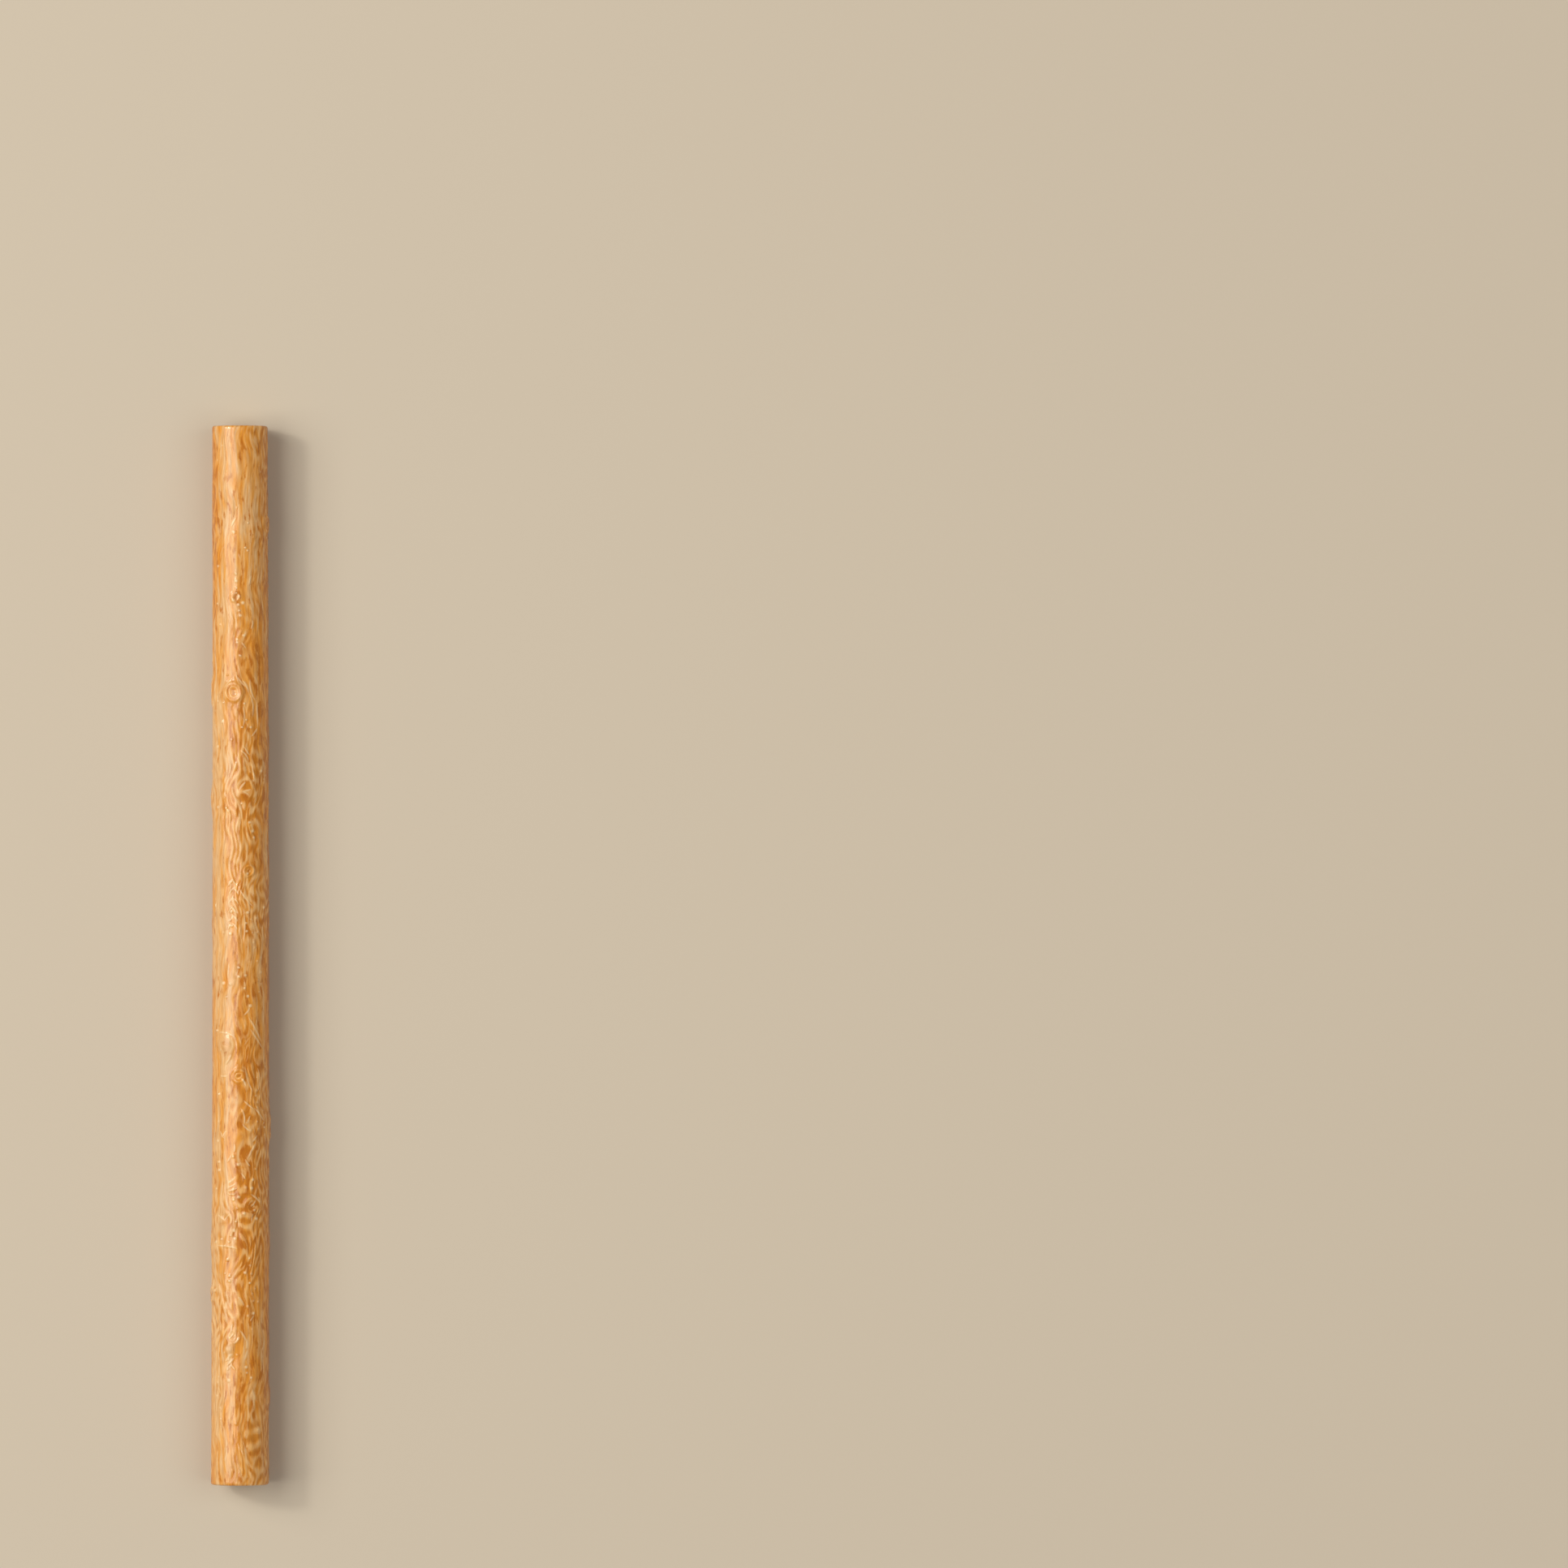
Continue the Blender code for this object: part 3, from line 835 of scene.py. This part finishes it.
def cut_material():
    """End grain: pale wood with rays, faint growth rings and pores, a soft pith, and bark."""
    nodes = Nodes("cut_wood")
    place = nodes.add("TexCoord").outputs["Object"]
    parts = nodes.add("SeparateXYZ", Vector=place).outputs
    upward = nodes.maths("SUBTRACT", parts["Z"], AXIS_HEIGHT)
    flat = nodes.place(parts["X"], parts["Y"], upward)
    towards = nodes.place(parts["X"], 0.0, upward)
    towards = nodes.add("VectorMath", {"operation": "NORMALIZE"}, Vector=towards).outputs[0]
    outward = nodes.tone("outward")
    rays = nodes.noise(towards, RAYS, detail=5.0, roughness=0.7)
    rings = nodes.noise(nodes.place(outward), RINGS, detail=2.0)
    pores = nodes.noise(flat, PORES, detail=2.0)
    uneven = nodes.noise(flat, UNEVEN)

    colour = nodes.ramp(rays, [(0.34, paint(224, 188, 134)), (0.62, paint(246, 222, 178))])
    bands = nodes.ramp(rings, [(0.38, paint(228, 214, 190)), (0.60, paint(255, 255, 255))])
    colour = nodes.mix(1.0, colour, bands, "MULTIPLY")
    colour = nodes.mix(nodes.fade(pores, 0.34, 0.42, 0.7, 0.0), colour, paint(168, 122, 66))
    pith = nodes.fade(outward, 0.06, 0.13, 0.7, 0.0)
    colour = nodes.mix(pith, colour, paint(190, 142, 82))

    edge = nodes.total(-0.025, (outward, 1.0), (uneven, 0.05))
    bark = nodes.ramp(
        edge,
        [
            (BARK_SHARE, paint(139, 90, 40)),
            (BARK_SHARE + 0.025, paint(196, 143, 80)),
            (0.97, paint(214, 158, 92)),
            (1.0, paint(196, 128, 52)),
        ],
    )
    in_bark = nodes.fade(edge, BARK_SHARE - 0.02, BARK_SHARE, 0.0, 1.0)
    nodes.set(nodes.shader, "Base Color", nodes.mix(in_bark, colour, bark))
    nodes.set(nodes.shader, "Roughness", 0.8)
    nodes.set(nodes.shader, "Specular IOR Level", 0.25)
    relief = nodes.add("Bump", Strength=0.6, Distance=0.04 * MM, Height=pores)
    nodes.set(nodes.shader, "Normal", relief.outputs[0])
    return nodes.material


def add_light(name, place, size, power):
    """A warm square light that shines on the stick's middle."""
    lamp = bpy.data.lights.new(name, "AREA")
    lamp.size = size
    lamp.energy = power
    lamp.color = WARM
    light = bpy.data.objects.new(name, lamp)
    light.location = place
    light.rotation_mode = "QUATERNION"
    light.rotation_quaternion = (-Vector(place)).to_track_quat("-Z", "Y")
    bpy.context.scene.collection.objects.link(light)
    return light


def add_camera():
    """Straight above the photograph's middle, so that the stick is where the photograph has it."""
    lens = bpy.data.cameras.new("camera")
    camera = bpy.data.objects.new("camera", lens)
    across = (PHOTO_WIDTH / 2 - STICK_PIXEL[0]) * PIXEL
    upward = (STICK_PIXEL[1] - PHOTO_WIDTH / 2) * PIXEL
    camera.location = (across, upward, AXIS_HEIGHT + CAMERA_HEIGHT)
    lens.sensor_width = SENSOR
    lens.lens = SENSOR * CAMERA_HEIGHT / (PHOTO_WIDTH * PIXEL)
    lens.clip_start, lens.clip_end = CLIP
    bpy.context.scene.collection.objects.link(camera)
    bpy.context.scene.camera = camera


def add_floor():
    """A plain pale floor, a hair below what the stick lies on."""
    far = FLOOR_HALF
    mesh = bpy.data.meshes.new("floor")
    corners = [(-far, -far, 0.0), (far, -far, 0.0), (far, far, 0.0), (-far, far, 0.0)]
    mesh.from_pydata(corners, [], [(0, 1, 2, 3)])
    floor = bpy.data.objects.new("floor", mesh)
    floor.location.z = -FLOOR_DROP
    bpy.context.scene.collection.objects.link(floor)
    nodes = Nodes("floor")
    nodes.set(nodes.shader, "Base Color", paint(204, 191, 175))
    nodes.set(nodes.shader, "Roughness", 0.9)
    mesh.materials.append(nodes.material)


def add_sky():
    """Dim even light from all round."""
    world = bpy.data.worlds.new("room")
    world.use_nodes = True
    sky = world.node_tree.nodes["Background"]
    sky.inputs["Color"].default_value = SKY
    sky.inputs["Strength"].default_value = SKY_STRENGTH
    bpy.context.scene.world = world


def add_lights():
    """Soft light mostly from the left. The fill on the right has no shine on the skin."""
    add_light("softbox", (-0.92, 0.20, 1.17), size=1.2, power=17.5)
    add_light("small lamp", (-1.00, 0.42, 1.05), size=0.18, power=4.0)
    fill = add_light("fill", (0.80, 0.0, 1.25), size=1.0, power=5.0)
    fill.visible_glossy = False


add_camera()
add_floor()
add_sky()
add_lights()
bpy.context.scene.view_settings.view_transform = "Standard"

skin = Skin()
draw = np.random.default_rng(SEED + 2)
stick = stick_mesh(skin)
bark = stick.materials[0]
marks = [mark_patch(mark) for mark in seen_marks(draw) + strewn_marks(draw)]
marks = patch_mesh(skin, marks, bark)
knots = patch_mesh(skin, [knot_patch(knot) for knot in KNOTS if knot.rings > 0], bark)
for name, mesh in (("stick_skin", stick), ("stick_marks", marks), ("stick_knots", knots)):
    piece = bpy.data.objects.new(name, mesh)
    bpy.context.scene.collection.objects.link(piece)
    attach(piece, "root")
    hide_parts(STICK)
